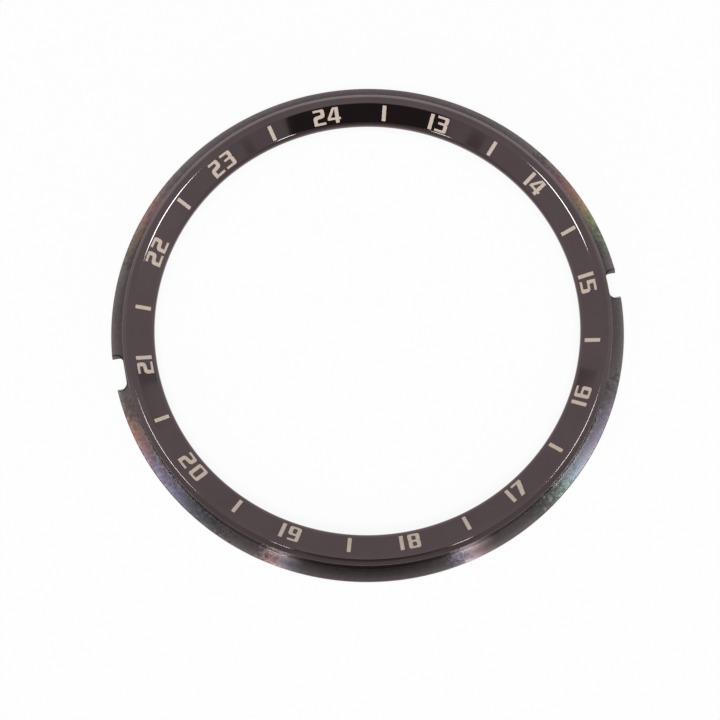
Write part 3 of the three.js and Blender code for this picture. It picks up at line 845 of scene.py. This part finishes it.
def light_tent(studio):
    """The world: white to the camera, a plain level to matt surfaces, and to polished ones a tent
    that is dimmer in front, brighter low down all round, and has a dark patch in front."""
    world = bpy.data.worlds.new("light_tent")
    bpy.context.scene.world = world
    n = Nodes(world, "OutputWorld")
    upright = n.add("Mapping", {
        "Vector": n.add("TexCoord").outputs["Generated"],
        "Rotation": (0.0, 0.0, studio.azimuth),
    }).outputs[0]
    depth, rise = n.add("SeparateXYZ", {0: upright}).outputs[1:]
    tone = n.ramp(n.maths("MULTIPLY_ADD", depth, 0.5, 0.5), (
        (0.05, (0.46, 0.43, 0.43)), (0.30, (0.62, 0.60, 0.60)), (0.5, (0.90, 0.90, 0.90)),
        (0.70, (0.85, 0.85, 0.85)), (0.88, (0.82, 0.82, 0.82)), (0.97, (0.90, 0.90, 0.90))))
    low_glow = n.ramp(rise, (
        (0.05, (1.0, 1.0, 1.0)), (0.17, (1.06, 1.05, 1.05)), (0.36, (1.40, 1.38, 1.36)),
        (0.52, (1.12, 1.12, 1.12)), (0.66, (1.0, 1.0, 1.0))))
    towards = n.add("VectorMath", {0: upright, 1: DUSK_WAY}, operation="DOT_PRODUCT")
    dusk = n.greys(towards.outputs["Value"], (0.90, 1.0), (0.955, 0.72), (0.985, 0.50))
    level = n.maths("MULTIPLY_ADD", depth, -studio.sky, studio.sky)
    plain = n.add("Background", {"Color": (1, 1, 1, 1), "Strength": level}).outputs[0]
    mirrored = n.product(n.product(tone, low_glow), dusk)
    shiny = n.add("Background", {"Color": mirrored, "Strength": 1.0}).outputs[0]
    white = n.add("Background", {"Color": (1, 1, 1, 1), "Strength": 1.0}).outputs[0]
    path = n.add("LightPath").outputs
    seen = n.maths("MAXIMUM", path["Is Camera Ray"], path["Is Transmission Ray"])
    unseen = n.add("MixShader", {0: path["Is Glossy Ray"], 1: plain, 2: shiny}).outputs[0]
    n.finish(n.add("MixShader", {0: seen, 1: unseen, 2: white}))


# Operators


class BEZEL_OT_flange(Operator):
    """Makes the fine turned flange with its two key notches"""

    bl_idname = "bezel.flange"
    bl_label = "Make the flange"

    def execute(self, context):
        mesh = skin("flange", flange_grid(context.scene.bezel_sizes))
        piece = shown("flange", mesh, FLANGE_SHARP)
        mesh.materials.append(turned_coat(context.scene.bezel_finishes))
        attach(piece, "root")
        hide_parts("flange_ring")
        return {"FINISHED"}


class BEZEL_OT_numeral_ring(Operator):
    """Makes the polished ring and cuts the marks' pockets into its land"""

    bl_idname = "bezel.numeral_ring"
    bl_label = "Make the numeral ring"

    def execute(self, context):
        sizes = context.scene.bezel_sizes
        angle = np.linspace(0, 2 * np.pi, sizes.segments, endpoint=False)
        mesh = skin("polished_ring", turned_grid(numeral_ring_profile(sizes), angle))
        piece = shown("polished_ring", mesh, RING_SHARP)
        cut(piece, pocket_cutters(sizes))
        piece.data.materials.clear()
        piece.data.materials.append(polished_coat(context.scene.bezel_finishes))
        piece.data.set_sharp_from_angle(angle=math.radians(RING_SHARP))
        ground_land(piece, sizes)
        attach(piece, "root")
        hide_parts("numeral_ring")
        return {"FINISHED"}


class BEZEL_OT_marks(Operator):
    """Gives the numerals and ticks their matt beige filling"""

    bl_idname = "bezel.marks"
    bl_label = "Finish the marks"

    def execute(self, context):
        filling = filled_marks(context.scene.bezel_finishes)
        for name in INLAYS:
            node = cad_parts[name]
            node.data.materials.clear()
            node.data.materials.append(filling)
        return {"FINISHED"}


class BEZEL_OT_bond(Operator):
    """Gives the film between the rings its dark finish"""

    bl_idname = "bezel.bond"
    bl_label = "Finish the bond"

    def execute(self, context):
        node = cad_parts["bond_ring"]
        node.data.materials.clear()
        node.data.materials.append(bond_film(context.scene.bezel_finishes))
        return {"FINISHED"}


class BEZEL_OT_stage(Operator):
    """Makes the floor, the light tent, the softboxes and the camera"""

    bl_idname = "bezel.stage"
    bl_label = "Make the stage"

    def execute(self, context):
        studio = context.scene.bezel_studio
        corners = FLOOR_REACH * np.array([(-1, -1), (1, -1), (1, 1), (-1, 1)])
        mesh = bpy.data.meshes.new("floor")
        mesh.from_pydata([(x, y, -FLOOR_DROP) for x, y in corners], [], [(0, 1, 2, 3)])
        mesh.materials.append(pale_floor(studio))
        floor = linked("floor", mesh)
        light_tent(studio)
        for name, place, width, depth, radiance in SOFTBOXES:
            softbox(name, place, width, depth, radiance * math.pi * width * depth, COOL)
        fill = softbox("front_fill", FILL_PLACE, FILL_WIDTH, FILL_DEPTH, studio.fill)
        fill.visible_glossy = False
        for card in DIM_CARDS:
            dim_card(*card)
        camera = linked("camera", bpy.data.cameras.new("camera"))
        camera.data.lens = studio.focal_length
        camera.data.sensor_width = SENSOR_WIDTH
        camera.data.clip_start, camera.data.clip_end = CLIP_NEAR, CLIP_FAR
        camera.matrix_world = camera_matrix(studio)
        context.scene.camera = camera
        place = camera.matrix_world.translation
        aside = camera.matrix_world.to_3x3() @ LENS_FRONT_ASIDE
        disc_place = place * LENS_FRONT_SHARE + aside
        dark_disc("lens_front", disc_place, -place.normalized(), LENS_FRONT_RADIUS)
        context.scene.view_settings.view_transform = "Standard"
        return {"FINISHED"}


class BEZEL_PT_panel(Panel):
    """Lists the steps in the 3D view's sidebar"""

    bl_label = "Watch Bezel"
    bl_idname = "BEZEL_PT_panel"
    bl_space_type = "VIEW_3D"
    bl_region_type = "UI"
    bl_category = "Bezel"

    def draw(self, context):
        column = self.layout.column()
        for step in STEPS:
            column.operator(step.bl_idname)
        scene = context.scene
        for group in (scene.bezel_sizes, scene.bezel_finishes, scene.bezel_studio):
            box = self.layout.box()
            for name in group.__annotations__:
                box.prop(group, name)


STEPS = (BEZEL_OT_flange, BEZEL_OT_numeral_ring, BEZEL_OT_marks, BEZEL_OT_bond, BEZEL_OT_stage)
GROUPS = (BezelSizes, BezelFinishes, BezelStudio)


def register():
    for item in (*GROUPS, *STEPS, BEZEL_PT_panel):
        bpy.utils.register_class(item)
    bpy.types.Scene.bezel_sizes = PointerProperty(type=BezelSizes)
    bpy.types.Scene.bezel_finishes = PointerProperty(type=BezelFinishes)
    bpy.types.Scene.bezel_studio = PointerProperty(type=BezelStudio)


def unregister():
    del bpy.types.Scene.bezel_studio
    del bpy.types.Scene.bezel_finishes
    del bpy.types.Scene.bezel_sizes
    for item in reversed((*GROUPS, *STEPS, BEZEL_PT_panel)):
        bpy.utils.unregister_class(item)


def main():
    register()
    bpy.ops.bezel.flange()
    bpy.ops.bezel.numeral_ring()
    bpy.ops.bezel.marks()
    bpy.ops.bezel.bond()
    bpy.ops.bezel.stage()


if __name__ == "__main__":
    main()
